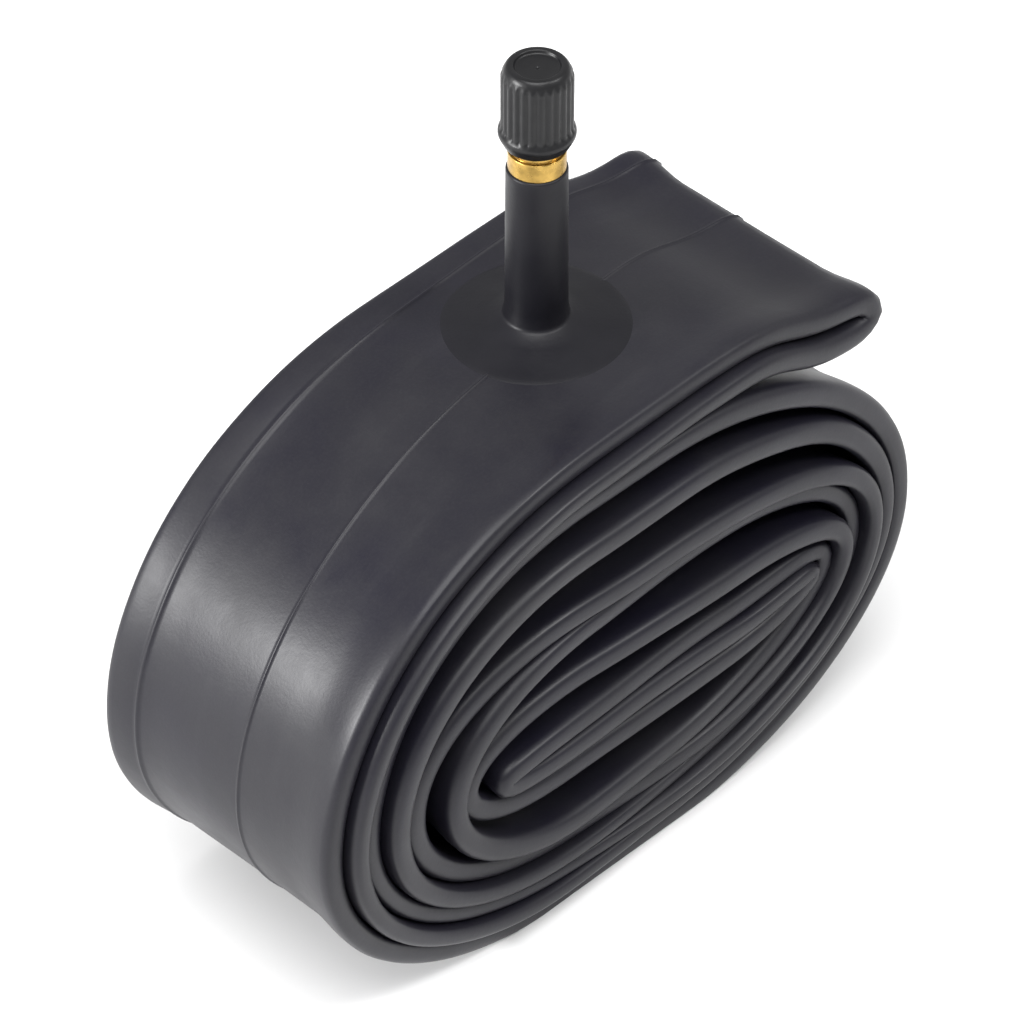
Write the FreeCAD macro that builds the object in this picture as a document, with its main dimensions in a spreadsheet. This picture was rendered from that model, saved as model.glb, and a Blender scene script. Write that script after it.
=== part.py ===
"""A bicycle inner tube, let down, laid flat on itself as a doubled strip and rolled up, with its
rubber-covered Schrader valve standing on the outer turn. Millimetres, +Z up.

The origin is the middle of the roll's footprint on the surface that it lies on. +X runs along the
roll towards the loose end, and the roll's axis is parallel to Y. Profiles of the valve's pieces
are measured from the seat, which is the flat on top of the outer turn, or down from the stem's tip.
"""
import FreeCAD, Part
import Sketcher
import math
import os

V = FreeCAD.Vector
ROUND = math.sqrt(0.5)      # middle weight that makes a rational quadratic curve a quarter ellipse

SIZES = {
    # The flattened tube and how it is rolled
    "ply_thickness": 2.4,   # two rubber walls pressed together
    "roll_width": 45.0,     # along Y
    "leg_gap": 2.4,         # between the two innermost legs
    "fold_reach": 41.3,     # from the core's reference line to the outside of the inner fold, +X
    "hook_reach": 21.6,     # from the same line to the inside of the innermost left turn, -X
    "crown_reach": 8.0,     # where the tops of the inner turns start to fall, +X
    "base_left": 8.0,       # level stretch under the roll, each way from the reference line
    "base_right": 12.0,
    "press_depth": 0.25,    # how far the roll's own weight presses its underside flat
    "tail_setback": 8.3,    # how far the loose end stays inside the roll's right side
    "tail_slope": 22.0,     # length over which the loose end comes down from the flat on top
    "tail_drop": 3.6,       # how far its upper ply comes down
    "tail_gap": 5.0,        # between the middles of its two plies at the end
    "tail_fold": 3.4,       # length of the end fold that joins them
    # The valve's rubber
    "valve_reach": 10.0,    # from the reference line to the valve's axis
    "valve_side": 3.3,      # from the middle of the roll's width to the valve's axis, +Y
    "pad_radius": 13.0,
    "pad_thickness": 1.6,
    "pad_edge": 0.5,
    "seat_margin": 1.5,     # flat that is left round the pad
    "cover_wall": 1.1,      # rubber on the stem's shank
    "cover_height": 26.3,   # from the seat to the rubber's top edge
    "root_flare": 1.2,      # how far the cover's root spreads where it meets the pad
    "root_height": 3.4,     # from the seat to the start of the straight cover
    "root_bend": 0.36,      # from the pad's slope to the bend in the flare
    "bend_flare": 0.42,     # the flare that is left at that bend
    "air_radius": 1.8,      # air hole through the outer turn's wall
    # The brass stem
    "stem_bore": 1.95,
    "shank_wall": 1.05,
    "foot_inset": 6.0,      # from the pad's edge to the foot's edge
    "foot_thickness": 0.6,
    "foot_lift": 0.4,       # rubber under the foot
    "collar_height": 2.8,
    "collar_edge": 0.35,
    "neck_height": 0.9,
    "thread_radius": 3.85,  # 8V1 thread, major radius
    "thread_depth": 0.4,
    "thread_length": 9.2,
    "thread_edge": 0.5,
    "seat_step": 0.67,      # from the stem's bore out to the core's threaded bore
    "core_bore_depth": 7.3,
    "seal_seat_depth": 9.6,
    "fit_clearance": 0.05,  # between pieces that are screwed or pressed together
    # The valve core, measured down from the stem's tip
    "pin_depth": 0.5,
    "plug_depth": 1.3,
    "plug_clearance": 0.07,
    "tang_radius": 1.75,
    "tang_length": 1.8,
    "tang_flat": 1.1,
    "plug_length": 5.3,
    "guide_clearance": 0.36,
    "guide_length": 2.2,
    "barrel_clearance": 0.2,
    "barrel_wall": 0.5,
    "barrel_length": 4.8,
    "flange_clearance": 0.32,
    "flange_length": 0.7,
    "groove_wall": 0.3,
    "groove_length": 2.0,
    "ledge_thickness": 0.8,
    "ledge_clearance": 0.23,
    "ring_taper_gap": 0.1,
    "pin_radius": 0.42,
    "pin_head_clearance": 0.1,
    "pin_head_length": 0.8,
    "pin_collar_clearance": 0.25,
    "pin_collar_depth": 4.3,
    "pin_collar_length": 0.5,
    "gasket_thickness": 0.8,
    "cup_clearance": 0.4,
    "cup_wall": 0.2,
    "cup_base": 0.4,
    "cup_rim": 0.4,         # how far the cup comes up round the gasket
    "rivet_spread": 0.33,
    "rivet_length": 0.35,
    "wire_radius": 0.14,
    "spring_turns": 7,
    # The cap
    "cap_gap": 1.2,         # between the collar and the cap's skirt
    "cap_clearance": 0.1,   # round the thread
    "cap_wall": 0.65,
    "cap_height": 12.2,
    "skirt_flare": 0.5,
    "skirt_land": 0.4,      # flat ring that is left under the skirt's chamfer
    "skirt_chamfer": 1.5,
    "skirt_band": 0.5,
    "skirt_height": 2.8,
    "mouth_edge": 0.15,
    "rib_height": 0.2,
    "rib_width": 0.55,
    "rib_count": 24,
    "shoulder_height": 1.5,
    "shoulder_break": 0.9,  # from the grip's top to where the shoulder turns in
    "shoulder_start": 0.3,
    "shoulder_inset": 0.8,
    "dish_inset": 0.7,
    "dish_depth": 0.5,
    "washer_thickness": 0.9,
    "washer_bore": 1.3,
    "washer_gap": 0.1,      # over the stem's tip, and under the cap's crown
}

# Sizes that follow from the ones above, so that what fits together stays together
TIES = {
    "shank_radius": "stem_bore + shank_wall",
    "cover_radius": "shank_radius + cover_wall",
    "root_radius": "cover_radius + root_flare",
    "foot_radius": "pad_radius - foot_inset",
    "neck_radius": "thread_radius - thread_depth",
    "core_bore": "stem_bore + seat_step",
    "plug_radius": "core_bore - plug_clearance",
    "pin_guide": "pin_radius + guide_clearance",
    "pin_head": "pin_guide - pin_head_clearance",
    "barrel_radius": "stem_bore - barrel_clearance",
    "chamber_radius": "barrel_radius - barrel_wall",
    "flange_radius": "core_bore - flange_clearance",
    "groove_radius": "chamber_radius + groove_wall",
    "ledge_bore": "pin_radius + ledge_clearance",
    "pin_collar_radius": "chamber_radius - pin_collar_clearance",
    "cup_radius": "stem_bore - cup_clearance",
    "gasket_radius": "cup_radius - cup_wall - fit_clearance",
    "rivet_radius": "pin_radius + rivet_spread",
    "skirt_radius": "thread_radius + cap_clearance + cap_wall + skirt_flare",
    "rib_root_radius": "thread_radius + cap_clearance + cap_wall / 2",
    "dish_radius": "thread_radius + cap_clearance + cap_wall - shoulder_inset - dish_inset",
}

# Slack between neighbouring plies, counted from the core outwards on each side of the roll
SLACK = {
    "top": (1.3, 5.3, 5.3, 0.3, 5.7, 3.8, 0.4, 0.4),
    "left": (2.4, 0.5, 4.2, 2.0, 1.2, 0.9, 0.6),
    "bottom": (6.45, 2.6, 1.5, 1.8, 0.9, 0.6),
    "right": (0.5, 0.3, 0.6, 0.3, 0.6, 0.3),
}

doc = FreeCAD.newDocument("InnerTube")
sheet = doc.addObject("Spreadsheet::Sheet", "Sizes")
pieces = []


def fill_sheet():
    """Write every driving dimension into the sheet, under a word that expressions can use."""
    rows = dict(SIZES)
    for side, gaps in SLACK.items():
        for number, gap in enumerate(gaps, 1):
            rows[f"{side}_slack_{number}"] = gap
    for row, (alias, value) in enumerate(rows.items(), 1):
        sheet.set(f"A{row}", alias)
        sheet.set(f"B{row}", str(value))
        sheet.setAlias(f"B{row}", alias)
    doc.recompute()


def cells(expression):
    """Spell an expression's words out in full: a tied size as its own expression, others as cells."""
    out = ""
    word = ""
    for letter in expression + " ":
        if letter.isalnum() or letter == "_":
            word += letter
            continue
        if word in TIES:
            word = f"({cells(TIES[word])})"
        elif word and word[0].isalpha():
            word = f"Sizes.{word}"
        out += word
        out += letter
        word = ""
    return out.strip()


def value(expression):
    return float(sheet.evalExpression(cells(expression)))


def side_stack(side, first, plies):
    """Distance from the core to the outside of a side's stack of plies, as an expression."""
    slack = " + ".join(f"{side}_slack_{n}" for n in range(1, plies + 1))
    return f"({first} + {slack} + {plies} * ply_thickness)"


# Heights and reaches of the roll, as expressions of the sheet's words
CORE_HALF = "(leg_gap / 2 + ply_thickness)"
CORE_Z = f"({side_stack('bottom', CORE_HALF, len(SLACK['bottom']))} - press_depth)"
SEAT_Z = f"({CORE_Z} + {side_stack('top', CORE_HALF, len(SLACK['top']))})"
RIGHT = side_stack("right", "fold_reach", len(SLACK["right"]))
LEFT = side_stack("left", "(hook_reach + ply_thickness)", len(SLACK["left"]))
REFERENCE_X = f"(({LEFT} - {RIGHT}) / 2)"
VALVE_X = f"({REFERENCE_X} + valve_reach)"
STEM_TOP = "(cover_height + collar_height + neck_height + thread_length)"


# ---------------------------------------------------------------- the rolled tube

class Roll:
    """Where the middle of each ply crosses the roll's top, left, bottom and right sides.

    The doubled strip starts at the loose end. Its outer ply (lane 0) and inner ply (lane 1) go round
    together, over the top, down the left side, under and up the right side, four times.
    """

    def __init__(self):
        self.ply = value("ply_thickness")
        self.core_z = value(CORE_Z)
        self.origin_x = value(REFERENCE_X)
        half = value(CORE_HALF)
        self.top = self.levels("top", half)
        self.bottom = self.levels("bottom", half)
        self.right = self.levels("right", value("fold_reach"))
        self.left = self.levels("left", value("hook_reach") + self.ply)
        self.left.insert(0, value("hook_reach") + self.ply / 2)

    def levels(self, side, start):
        """Distances from the core to the middles of a side's plies, from the innermost out."""
        middles = []
        for number in range(1, len(SLACK[side]) + 1):
            start += value(f"{side}_slack_{number}") + self.ply
            middles.append(start - self.ply / 2)
        return middles

    def crossings(self, lane):
        """The lane's distances from the core, turn by turn, as (top, left, bottom, right)."""
        tops = self.top[::-1][lane::2]
        lefts = self.left[::-1][lane::2]
        bottoms = self.bottom[::-1][lane::2]
        rights = self.right[::-1][lane::2]
        leg = value("leg_gap") / 2 + self.ply / 2
        bottoms.append(leg if lane == 0 else -leg)
        rights.append(value("fold_reach") - self.ply / 2)
        return list(zip(tops, lefts, bottoms, rights))


def quarter(start, corner, end):
    """A quarter ellipse from start to end, whose tangents meet at the corner."""
    curve = Part.BezierCurve()
    curve.setPoles([V(x, 0, z) for x, z in (start, corner, end)])
    curve.setWeight(2, ROUND)
    return curve.toShape()


def s_curve(start, end):
    """A smooth step, level at both ends."""
    middle = (start[0] + end[0]) / 2
    curve = Part.BezierCurve()
    poles = (start, (middle, start[1]), (middle, end[1]), end)
    curve.setPoles([V(x, 0, z) for x, z in poles])
    return curve.toShape()


def straight(start, end):
    return Part.LineSegment(V(start[0], 0, start[1]), V(end[0], 0, end[1])).toShape()


def lane_edges(roll, lane, offset):
    """One face of one ply, from the flat on top of the outer turn to the inner fold's right side.

    A positive offset is the face that looks out of the roll. In the last leg of lane 1 the ply has
    turned back on itself, so the same face looks at the other leg.
    """
    edges = []
    ox = roll.origin_x
    seat_left = ox + value("valve_reach") - value("pad_radius") - value("seat_margin")
    seat_right = ox + value("valve_reach") + value("pad_radius") + value("seat_margin")
    crown = ox + value("crown_reach")
    base_left = ox - value("base_left")
    base_right = ox + value("base_right")
    side_z = roll.core_z
    hook_z = roll.core_z + (roll.top[0] + value("leg_gap") / 2 + roll.ply / 2) / 2
    turns = roll.crossings(lane)
    for number, (top, left, bottom, right) in enumerate(turns):
        last = number == len(turns) - 1
        top_z = roll.core_z + top + offset
        left_x = ox - left - offset
        bottom_z = roll.core_z - bottom - offset
        right_x = ox + right + offset
        if number == 0:
            start = (tail_start(roll) if lane else seat_right, top_z)
        else:
            start = (crown, top_z)
            edges.append(quarter(previous, (previous[0], top_z), start))
        seat = (seat_left, top_z)
        edges.append(straight(start, seat))
        edges.append(quarter(seat, (left_x, top_z), (left_x, hook_z)))
        base = (base_left, bottom_z)
        edges.append(quarter((left_x, hook_z), (left_x, bottom_z), base))
        turn_x = crown if last and lane else base_right
        edges.append(straight(base, (turn_x, bottom_z)))
        previous = (right_x, side_z)
        if last and lane:
            previous = (ox + right - offset, side_z)
        edges.append(quarter((turn_x, bottom_z), (previous[0], bottom_z), previous))
    return edges


def tail_tip(roll):
    return roll.origin_x + value(RIGHT) - value("tail_setback") - roll.ply / 2


def tail_start(roll):
    """Where the lower ply of the loose end starts to come down."""
    return tail_tip(roll) - value("tail_fold") - value("tail_slope")


def tail_edges(roll, offset):
    """One face of the loose end: from the lower ply's start, round the fold, to the flat on top.

    A positive offset is the outside of the fold.
    """
    seat_right = roll.origin_x + value("valve_reach") + value("pad_radius") + value("seat_margin")
    tip_x = tail_tip(roll) + offset
    fold_x = tail_tip(roll) - value("tail_fold")
    top_z = roll.core_z + roll.top[-1] + offset
    upper_z = top_z - value("tail_drop")
    lower_z = upper_z - value("tail_gap") - 2 * offset
    fold_z = (upper_z + lower_z) / 2
    start = (tail_start(roll), roll.core_z + roll.top[-2] - offset)
    return [
        s_curve(start, (fold_x, lower_z)),
        quarter((fold_x, lower_z), (tip_x, lower_z), (tip_x, fold_z)),
        quarter((tip_x, fold_z), (tip_x, upper_z), (fold_x, upper_z)),
        s_curve((fold_x, upper_z), (seat_right, top_z)),
    ]


def rolled_tube():
    """The closed ring of flattened tube, as one band that follows the roll's plies.

    It reads its sizes from the sheet here, because no sketch feature turns a ring this way.
    """
    roll = Roll()
    half = roll.ply / 2
    faces = []
    for sign in (1, -1):
        edges = tail_edges(roll, sign * half)
        edges += lane_edges(roll, 0, sign * half)
        edges += lane_edges(roll, 1, -sign * half)
        wires = Part.sortEdges(edges)
        if len(wires) != 1:
            raise RuntimeError(f"the ply's face is in {len(wires)} parts")
        faces.append(Part.Face(Part.Wire(wires[0])))
    band = faces[0].cut(faces[1])
    width = value("roll_width")
    solid = band.extrude(V(0, width, 0))
    solid.translate(V(0, -width / 2, 0))
    mouth = V(value(VALVE_X), value("valve_side"), value(SEAT_Z) - half)
    hole = Part.makeCylinder(value("air_radius"), half, mouth)
    length = value(LEFT) + value(RIGHT)
    depth = value("press_depth")
    pressed = Part.makeBox(length, width, depth, V(-length / 2, -width / 2, -depth))
    piece = doc.addObject("Part::Feature", "rolled_tube")
    piece.Label = "rolled_tube"
    piece.Shape = solid.cut([hole, pressed]).removeSplitter()
    piece.Placement = FreeCAD.Placement()
    pieces.append(piece)
    centre = band.Area / roll.ply
    print(f"ring length {centre:.0f} mm, roll {length:.1f} mm long, "
          f"seat at {value(SEAT_Z):.1f} mm")


# ---------------------------------------------------------------- turned pieces

def plane(body, role):
    return next(item for item in body.Origin.OriginFeatures if item.Role == role)


def bind(sketch, kind, geometry, point, expression):
    """Hold one coordinate of a sketched point at an expression of the sheet."""
    if expression == "0":
        axis = -2 if kind == "DistanceX" else -1
        sketch.addConstraint(Sketcher.Constraint("PointOnObject", geometry, point, axis))
        return
    rule = Sketcher.Constraint(kind, -1, 1, geometry, point, value(expression))
    sketch.setExpression(f"Constraints[{sketch.addConstraint(rule)}]", cells(expression))


def closed_sketch(body, name, role, corners):
    """A closed polygon whose corners are pairs of expressions, on one of the body's own planes."""
    sketch = body.newObject("Sketcher::SketchObject", name)
    sketch.AttachmentSupport = [(plane(body, role), "")]
    sketch.MapMode = "FlatFace"
    points = [V(value(across), value(up), 0) for across, up in corners]
    count = len(points)
    for number in range(count):
        sketch.addGeometry(Part.LineSegment(points[number], points[(number + 1) % count]))
    for number in range(count):
        sketch.addConstraint(Sketcher.Constraint("Coincident", number, 2, (number + 1) % count, 1))
    for number, (across, up) in enumerate(corners):
        bind(sketch, "DistanceX", number, 1, across)
        bind(sketch, "DistanceY", number, 1, up)
    return sketch


def stand_on_seat(body):
    """Put a piece of the valve on the valve's axis, with its zero height at the seat."""
    body.setExpression("Placement.Base.x", cells(VALVE_X))
    body.setExpression("Placement.Base.y", cells("valve_side"))
    body.setExpression("Placement.Base.z", cells(SEAT_Z))
    pieces.append(body)


def turned(name, profile):
    """A piece turned about the valve's axis from (radius, height over the seat) expressions."""
    body = doc.addObject("PartDesign::Body", name)
    body.Label = name
    sketch = closed_sketch(body, name + "_profile", "XZ_Plane", profile)
    feature = body.newObject("PartDesign::Revolution", name + "_turned")
    feature.Profile = sketch
    feature.ReferenceAxis = (sketch, ["V_Axis"])
    feature.Angle = 360
    sketch.Visibility = False
    body.Tip = feature
    stand_on_seat(body)
    return body


def down(*depths):
    """The height over the seat of a place that far below the stem's tip."""
    return f"({STEM_TOP} - {' - '.join(depths)})"


PLUG_END = "(plug_depth + plug_length)"
BARREL_TOP = f"({PLUG_END} + fit_clearance)"
BARREL_END = f"({BARREL_TOP} + barrel_length)"
GASKET_TOP = f"({BARREL_END} + fit_clearance)"
CUP_TOP = f"({GASKET_TOP} + gasket_thickness)"
SPRING_TOP = "(pin_collar_depth + pin_collar_length + fit_clearance + wire_radius)"
SPRING_END = f"({BARREL_END} - ledge_thickness - fit_clearance - wire_radius)"
CAP_FOOT = "(cover_height + collar_height + cap_gap)"
CAP_INNER = f"({STEM_TOP} + washer_gap * 2 + washer_thickness)"
CAP_BORE = "(thread_radius + cap_clearance)"
CAP_BODY = f"({CAP_BORE} + cap_wall)"


def valve_rubber():
    """The base pad and the covering of the stem, moulded round the brass in one piece."""
    foot_top = "foot_lift + foot_thickness"
    turned("valve_rubber", [
        ("air_radius", "0"),
        ("pad_radius", "0"),
        ("pad_radius", "pad_edge"),
        ("root_radius", "pad_thickness"),
        ("cover_radius + bend_flare", "pad_thickness + root_bend"),
        ("cover_radius", "root_height"),
        ("cover_radius", "cover_height"),
        ("shank_radius", "cover_height"),
        ("shank_radius", foot_top),
        ("foot_radius", foot_top),
        ("foot_radius", "foot_lift"),
        ("air_radius", "foot_lift"),
    ])


def brass_stem():
    """The stem: foot, shank, collar, neck and threaded tip, with its stepped bore."""
    foot_top = "foot_lift + foot_thickness"
    collar_top = "cover_height + collar_height"
    thread_foot = f"{collar_top} + neck_height"
    turned("brass_stem", [
        ("stem_bore", "foot_lift"),
        ("foot_radius", "foot_lift"),
        ("foot_radius", foot_top),
        ("shank_radius", foot_top),
        ("shank_radius", "cover_height"),
        ("thread_radius", "cover_height"),
        ("thread_radius", f"{collar_top} - collar_edge"),
        ("thread_radius - collar_edge", collar_top),
        ("neck_radius", collar_top),
        ("neck_radius", thread_foot),
        ("thread_radius", f"{thread_foot} + thread_depth"),
        ("thread_radius", f"{STEM_TOP} - thread_edge"),
        ("thread_radius - thread_edge", STEM_TOP),
        ("core_bore", STEM_TOP),
        ("core_bore", down("core_bore_depth")),
        ("stem_bore", down("seal_seat_depth")),
    ])


def core_plug():
    """The threaded plug that holds the core in the stem, with two flats on its tang for a key."""
    body = turned("core_plug", [
        ("pin_guide", down("plug_depth")),
        ("tang_radius", down("plug_depth")),
        ("tang_radius", down("plug_depth", "tang_length")),
        ("plug_radius", down("plug_depth", "tang_length")),
        ("plug_radius", down(PLUG_END)),
        ("chamber_radius", down(PLUG_END)),
        ("chamber_radius", down("plug_depth", "guide_length")),
        ("pin_guide", down("plug_depth", "guide_length")),
    ])
    side = closed_sketch(body, "core_plug_flat", "XZ_Plane", [
        ("tang_flat", down("plug_depth", "tang_length")),
        ("tang_radius + tang_flat", down("plug_depth", "tang_length")),
        ("tang_radius + tang_flat", down("plug_depth - tang_flat")),
        ("tang_flat", down("plug_depth - tang_flat")),
    ])
    flat = body.newObject("PartDesign::Pocket", "core_plug_flat_cut")
    flat.Profile = side
    flat.Midplane = True
    flat.setExpression("Length", cells("4 * tang_radius"))
    side.Visibility = False
    doc.recompute()
    repeat = body.newObject("PartDesign::PolarPattern", "core_plug_flats")
    repeat.Originals = [flat]
    repeat.Axis = (body.Group[0], ["V_Axis"])
    repeat.Angle = 360
    repeat.Occurrences = 2
    body.Tip = repeat


def core_barrel():
    """The barrel under the plug: a groove for its ring outside, the spring's chamber inside."""
    groove_top = f"{BARREL_TOP} + flange_length"
    groove_end = f"{groove_top} + groove_length"
    ledge_top = f"{BARREL_END} - ledge_thickness"
    turned("core_barrel", [
        ("chamber_radius", down(f"({BARREL_TOP})")),
        ("flange_radius", down(f"({BARREL_TOP})")),
        ("flange_radius", down(f"({groove_top})")),
        ("groove_radius", down(f"({groove_top})")),
        ("groove_radius", down(f"({groove_end})")),
        ("barrel_radius", down(f"({groove_end})")),
        ("barrel_radius", down(BARREL_END)),
        ("ledge_bore", down(BARREL_END)),
        ("ledge_bore", down(f"({ledge_top})")),
        ("chamber_radius", down(f"({ledge_top})")),
    ])


def barrel_seal():
    """The tapered ring in the barrel's groove, which seals on the cone in the stem's bore."""
    top = f"({BARREL_TOP} + flange_length + fit_clearance)"
    end = f"({BARREL_TOP} + flange_length + groove_length - fit_clearance)"
    taper = "(core_bore - stem_bore) / (seal_seat_depth - core_bore_depth)"
    at_end = f"core_bore - fit_clearance - {taper} * ({end} - core_bore_depth)"
    turned("barrel_seal", [
        ("groove_radius + fit_clearance", down(top)),
        ("core_bore - 2 * fit_clearance - ring_taper_gap", down(top)),
        (f"{at_end} - fit_clearance", down(end)),
        ("groove_radius + fit_clearance", down(end)),
    ])


def core_pin():
    """The pin: head, shank, the collar that the spring pushes on, and the riveted lower end."""
    head_end = "(pin_depth + pin_head_length)"
    collar_end = "(pin_collar_depth + pin_collar_length)"
    rivet_top = f"({CUP_TOP} + cup_base + 2 * fit_clearance)"
    turned("core_pin", [
        ("0", down("pin_depth")),
        ("pin_head", down("pin_depth")),
        ("pin_head", down(head_end)),
        ("pin_radius", down(head_end)),
        ("pin_radius", down("pin_collar_depth")),
        ("pin_collar_radius", down("pin_collar_depth")),
        ("pin_collar_radius", down(collar_end)),
        ("pin_radius", down(collar_end)),
        ("pin_radius", down(rivet_top)),
        ("rivet_radius", down(rivet_top)),
        ("rivet_radius", down(f"({rivet_top} + rivet_length)")),
        ("0", down(f"({rivet_top} + rivet_length)")),
    ])


def pin_gasket():
    """The rubber washer that closes the barrel's lower mouth."""
    turned("pin_gasket", [
        ("pin_radius + fit_clearance", down(GASKET_TOP)),
        ("gasket_radius", down(GASKET_TOP)),
        ("gasket_radius", down(CUP_TOP)),
        ("pin_radius + fit_clearance", down(CUP_TOP)),
    ])


def pin_cup():
    """The brass cup that carries the washer on the pin."""
    base_top = f"({CUP_TOP} + fit_clearance)"
    base_end = f"({CUP_TOP} + fit_clearance + cup_base)"
    rim = f"({CUP_TOP} - cup_rim)"
    turned("pin_cup", [
        ("pin_radius + fit_clearance", down(base_top)),
        ("cup_radius - cup_wall", down(base_top)),
        ("cup_radius - cup_wall", down(rim)),
        ("cup_radius", down(rim)),
        ("cup_radius", down(base_end)),
        ("pin_radius + fit_clearance", down(base_end)),
    ])


def core_spring():
    """The coil spring between the pin's collar and the barrel's ledge.

    It reads its sizes from the sheet here, as one wire swept along a helix.
    """
    low = value(down(SPRING_END))
    height = value(down(SPRING_TOP)) - low
    wire = value("wire_radius")
    middle = (value("chamber_radius") + value("pin_radius")) / 2
    helix = Part.makeHelix(height / value("spring_turns"), height, middle)
    section = Part.Wire(Part.makeCircle(wire, V(middle, 0, 0), V(0, 1, 0)))
    coil = Part.Wire(helix.Edges).makePipeShell([section], True, True)
    piece = doc.addObject("Part::Feature", "core_spring")
    piece.Label = "core_spring"
    piece.Shape = coil
    foot = V(value(VALVE_X), value("valve_side"), value(SEAT_Z) + low)
    piece.Placement = FreeCAD.Placement(foot, FreeCAD.Rotation())
    pieces.append(piece)


def valve_cap():
    """The screw cap: flared skirt, ribbed grip, shoulder and dished crown over a smooth bore."""
    top = f"({CAP_FOOT} + cap_height)"
    skirt = f"({CAP_FOOT} + skirt_height)"
    grip_top = f"({top} - shoulder_height)"
    body = turned("valve_cap", [
        (f"{CAP_BORE} + mouth_edge", CAP_FOOT),
        (f"{CAP_BORE} + skirt_land", CAP_FOOT),
        ("skirt_radius", f"{CAP_FOOT} + skirt_chamfer"),
        ("skirt_radius", f"{CAP_FOOT} + skirt_chamfer + skirt_band"),
        (CAP_BODY, skirt),
        (CAP_BODY, grip_top),
        (f"{CAP_BODY} - shoulder_start", f"{grip_top} + shoulder_break"),
        (f"{CAP_BODY} - shoulder_inset", top),
        ("dish_radius", top),
        ("dish_radius", f"{top} - dish_depth"),
        ("0", f"{top} - dish_depth"),
        ("0", CAP_INNER),
        (CAP_BORE, CAP_INNER),
        (CAP_BORE, f"{CAP_FOOT} + mouth_edge"),
    ])
    rib_foot = f"{skirt} - rib_height"
    outline = closed_sketch(body, "valve_cap_rib", "XZ_Plane", [
        ("rib_root_radius", rib_foot),
        (f"{CAP_BODY} + rib_height", rib_foot),
        (f"{CAP_BODY} + rib_height", f"{grip_top} - rib_height"),
        (CAP_BODY, grip_top),
        ("rib_root_radius", grip_top),
    ])
    rib = body.newObject("PartDesign::Pad", "valve_cap_rib_pad")
    rib.Profile = outline
    rib.Midplane = True
    rib.setExpression("Length", cells("rib_width"))
    outline.Visibility = False
    doc.recompute()
    ribs = body.newObject("PartDesign::PolarPattern", "valve_cap_ribs")
    ribs.Originals = [rib]
    ribs.Axis = (body.Group[0], ["V_Axis"])
    ribs.Angle = 360
    ribs.setExpression("Occurrences", cells("rib_count"))
    body.Tip = ribs


def cap_seal():
    """The loose rubber washer under the cap's crown, which closes the stem's tip."""
    low = f"({STEM_TOP} + washer_gap)"
    turned("cap_seal", [
        ("washer_bore", low),
        (f"{CAP_BORE} - washer_gap", low),
        (f"{CAP_BORE} - washer_gap", f"{low} + washer_thickness"),
        ("washer_bore", f"{low} + washer_thickness"),
    ])


def check_and_write():
    """Stop on any failed feature or bad solid, then write one file for each piece."""
    doc.recompute()
    for item in doc.Objects:
        if "Invalid" in item.State or "Error" in item.State:
            raise RuntimeError(f"{item.Label} failed: {item.State}")
    for piece in pieces:
        shape = piece.Shape
        if shape.isNull() or not shape.isValid() or len(shape.Solids) != 1:
            raise RuntimeError(f"{piece.Label} isn't one good solid")
    os.makedirs("parts", exist_ok=True)
    for piece in pieces:
        piece.Shape.exportStep(f"parts/{piece.Label}.step")
        print(f"{piece.Label}: {piece.Shape.Volume:.1f} mm3")


fill_sheet()
rolled_tube()
valve_rubber()
brass_stem()
core_plug()
core_barrel()
barrel_seal()
core_pin()
pin_cup()
pin_gasket()
core_spring()
valve_cap()
cap_seal()
check_and_write()
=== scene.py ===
"""The looks of a bicycle inner tube, rolled up with its rubber-covered valve standing on top.

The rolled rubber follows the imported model's own band: its middle line is read from the CAD node, its
innermost turns are let down a little, and a flattened section with thick rounded edges is swept along
it. Metres, in the CAD frame.
"""

import math

import bmesh
import bpy
import numpy as np
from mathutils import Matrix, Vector, noise


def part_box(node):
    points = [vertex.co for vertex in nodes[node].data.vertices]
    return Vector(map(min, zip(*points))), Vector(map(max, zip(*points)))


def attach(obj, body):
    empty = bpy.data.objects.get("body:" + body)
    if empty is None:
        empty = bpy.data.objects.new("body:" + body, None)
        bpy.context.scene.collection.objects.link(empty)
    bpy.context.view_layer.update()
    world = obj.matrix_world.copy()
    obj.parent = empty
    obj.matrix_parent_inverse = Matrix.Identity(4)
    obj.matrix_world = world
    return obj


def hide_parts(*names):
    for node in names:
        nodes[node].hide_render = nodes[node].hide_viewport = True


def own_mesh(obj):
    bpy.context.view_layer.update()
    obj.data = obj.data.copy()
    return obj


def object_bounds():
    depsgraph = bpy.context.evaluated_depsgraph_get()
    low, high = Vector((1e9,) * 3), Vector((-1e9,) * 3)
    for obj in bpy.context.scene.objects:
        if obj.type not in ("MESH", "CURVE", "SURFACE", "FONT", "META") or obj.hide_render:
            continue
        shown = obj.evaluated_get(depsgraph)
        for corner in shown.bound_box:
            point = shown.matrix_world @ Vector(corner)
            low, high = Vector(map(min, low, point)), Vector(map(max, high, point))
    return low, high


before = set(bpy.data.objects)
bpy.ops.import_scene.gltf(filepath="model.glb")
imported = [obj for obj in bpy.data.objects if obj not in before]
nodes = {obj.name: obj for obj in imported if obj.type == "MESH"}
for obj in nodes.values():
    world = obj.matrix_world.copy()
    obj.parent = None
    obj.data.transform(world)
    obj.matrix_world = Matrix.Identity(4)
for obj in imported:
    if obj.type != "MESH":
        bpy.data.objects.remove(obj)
cad_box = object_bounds()

MM = 0.001

# The camera
CAMERA_AZIMUTH = -45.6
CAMERA_ELEVATION = 41.6
CAMERA_DISTANCE = 0.750
CAMERA_CLIP = (0.05, 50)
IMAGE_SIDE = 1014
PIXELS_PER_METRE = 7461         # at the distance of the point that it looks at
SENSOR = 36.0
LOOK_FROM_FOOT = (-2.15, 4.3, 51.4)     # millimetres from the middle of the footprint
LOOK_ASIDE = (3.36, -1.30)              # then millimetres to the right and up in the picture

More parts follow.
